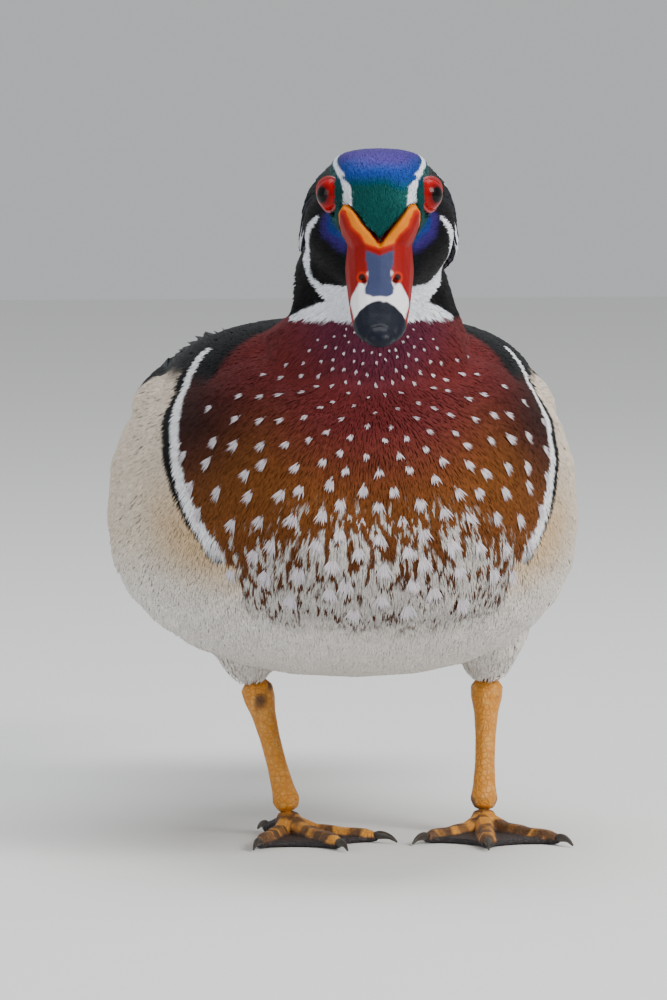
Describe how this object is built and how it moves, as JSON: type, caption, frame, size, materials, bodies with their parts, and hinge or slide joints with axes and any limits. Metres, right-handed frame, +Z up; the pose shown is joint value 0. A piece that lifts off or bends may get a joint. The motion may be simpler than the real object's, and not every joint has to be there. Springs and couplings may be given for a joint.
{
  "type": "wood duck figure",
  "caption": "Life-size standing drake wood duck, head drawn in and bill lowered, with crest, folded wings, tail and webbed feet.",
  "frame": {"origin": "centre of the bounding box's bottom face, on the floor under the bird", "axes": "+Z up, -Y the way the bird faces, +X its own left"},
  "size_m": [0.139, 0.388, 0.2092],
  "materials": {
    "breast": "silky feather, chestnut with white marks",
    "head": "short glossy feather, blue-green",
    "white": "soft feather, white",
    "crest": "long glossy feather, blue-purple",
    "bill": "smooth horn, red with a yellow edge",
    "jaw": "smooth horn, dark",
    "eye": "wet, glossy red",
    "wing": "flat glossy vanes, dark blue-green",
    "tail": "flat vanes, near black",
    "flesh": "scaly skin, ochre",
    "claw": "smooth horn, dark"
  },
  "bodies": {
    "root": {"torso": "breast", "head": "head", "bill_upper": "bill", "bill_lower": "jaw", "eye_right": "eye", "eye_left": "eye", "neck": "white", "crest": "crest", "wing_left": "wing", "wing_right": "wing", "tail": "tail", "thigh_left": "white", "tarsus_left": "flesh", "foot_left": "flesh", "claw_inner_left": "claw", "claw_middle_left": "claw", "claw_outer_left": "claw", "claw_hind_left": "claw", "thigh_right": "white", "tarsus_right": "flesh", "foot_right": "flesh", "claw_inner_right": "claw", "claw_middle_right": "claw", "claw_outer_right": "claw", "claw_hind_right": "claw"}
  },
  "joints": []
}
